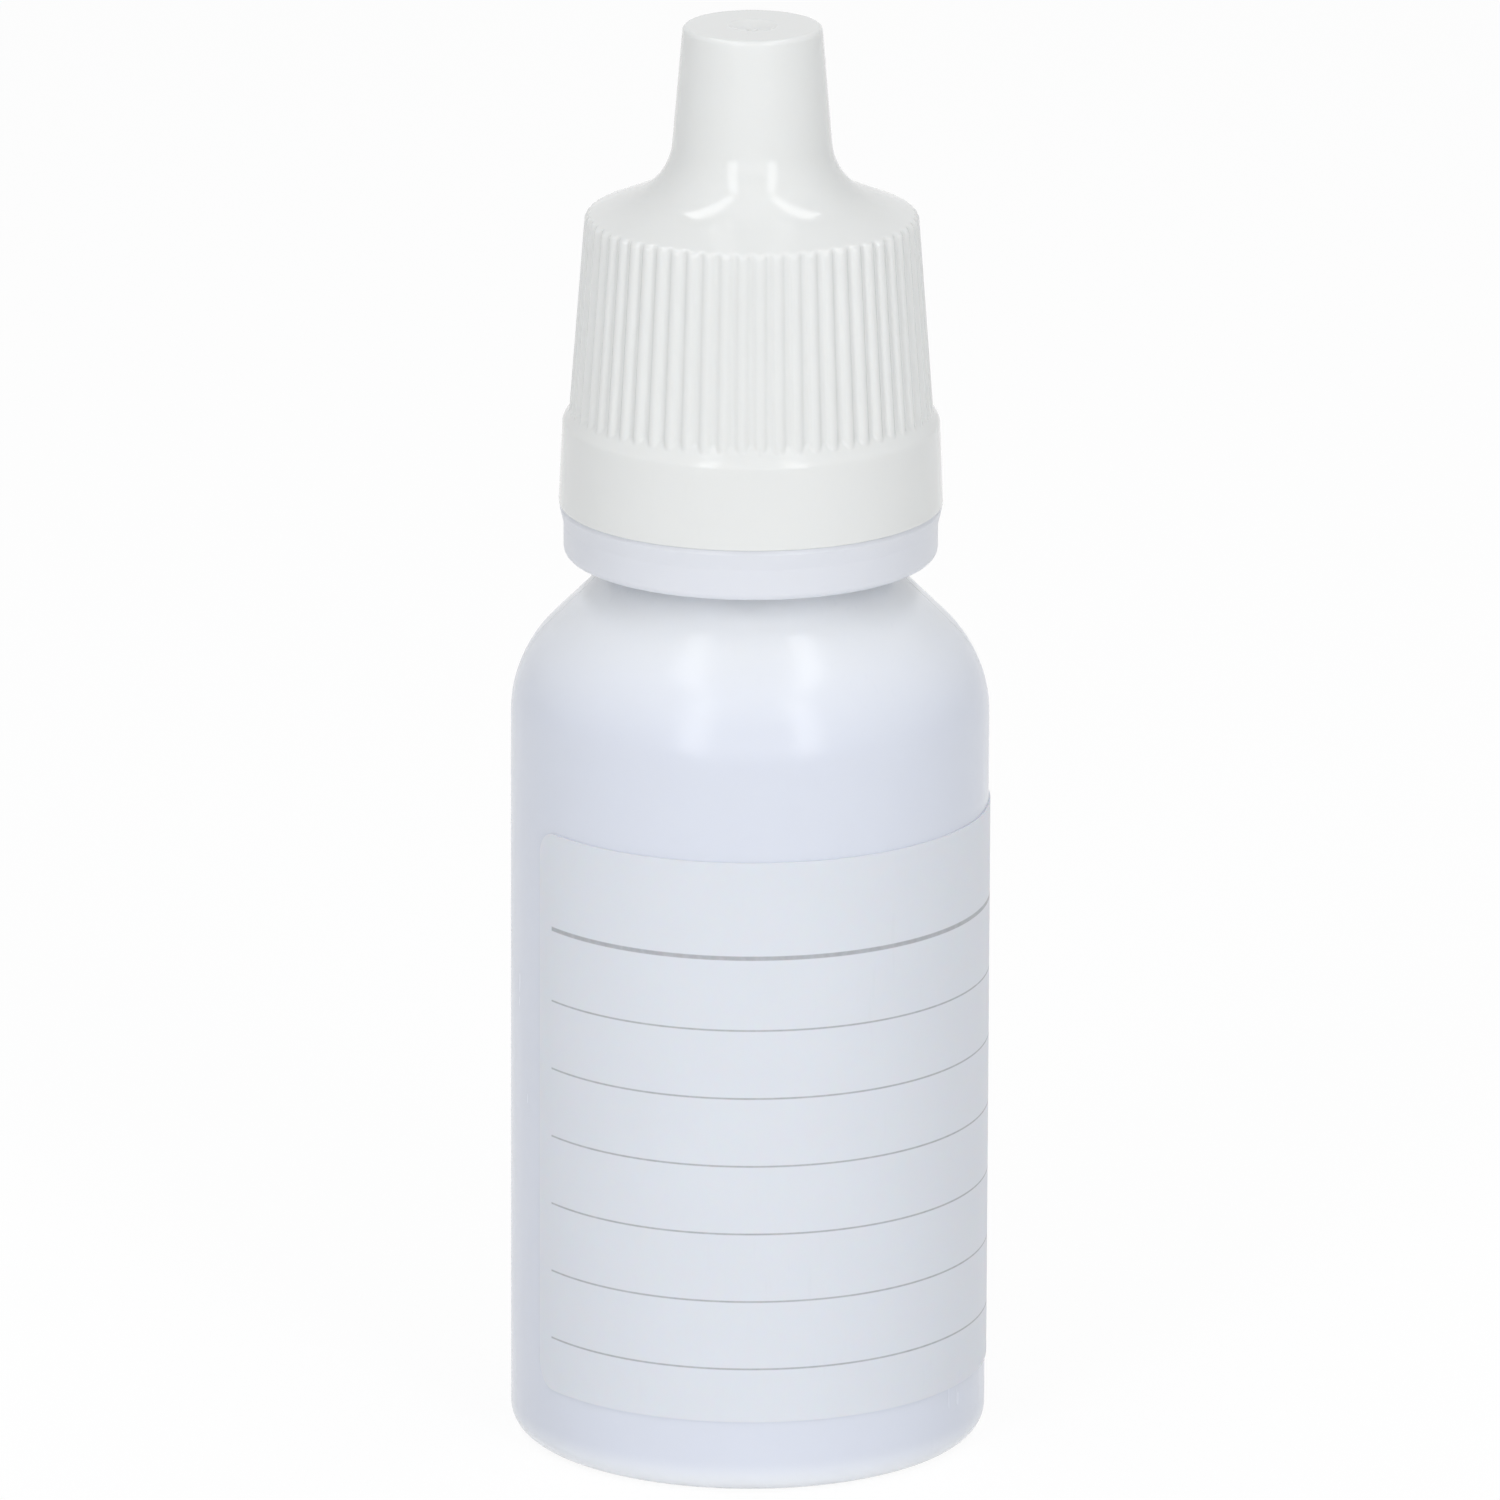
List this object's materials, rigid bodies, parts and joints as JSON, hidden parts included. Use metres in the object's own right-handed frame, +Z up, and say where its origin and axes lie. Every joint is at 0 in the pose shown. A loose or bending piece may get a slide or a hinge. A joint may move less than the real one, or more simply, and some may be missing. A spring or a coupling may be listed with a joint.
{
  "type": "eye drop bottle",
  "caption": "Squeezable dropper bottle with a pressed-in nozzle, a ribbed long-nosed screw cap, a tamper-evident ring and a blank wrap-round label.",
  "frame": {"origin": "centre of the foot, on the surface that the bottle stands on", "axes": "+Z up along the bottle's axis, -Y out of the front of the label, +X to the right as seen from the front"},
  "size_m": [0.0225, 0.0226, 0.0679],
  "materials": {
    "bottle": "satin",
    "dropper": "satin",
    "ring": "semi-gloss",
    "cap": "semi-gloss",
    "label": "satin film"
  },
  "bodies": {
    "bottle": {"bottle": "bottle", "dropper_insert": "dropper", "label": "label"},
    "tamper_ring": {"tamper_ring": "ring"},
    "screw_cap": {"screw_cap": "cap"}
  },
  "joints": [
    {"name": "cap_turn", "type": "hinge", "parent": "bottle", "child": "tamper_ring", "pos_m": [0, 0, 0.0435], "axis": [0, 0, 1], "range_deg": [0, 720]},
    {"name": "cap_lift", "type": "slide", "parent": "tamper_ring", "child": "screw_cap", "axis": [0, 0, 1], "range_m": [0, 0.026]}
  ]
}
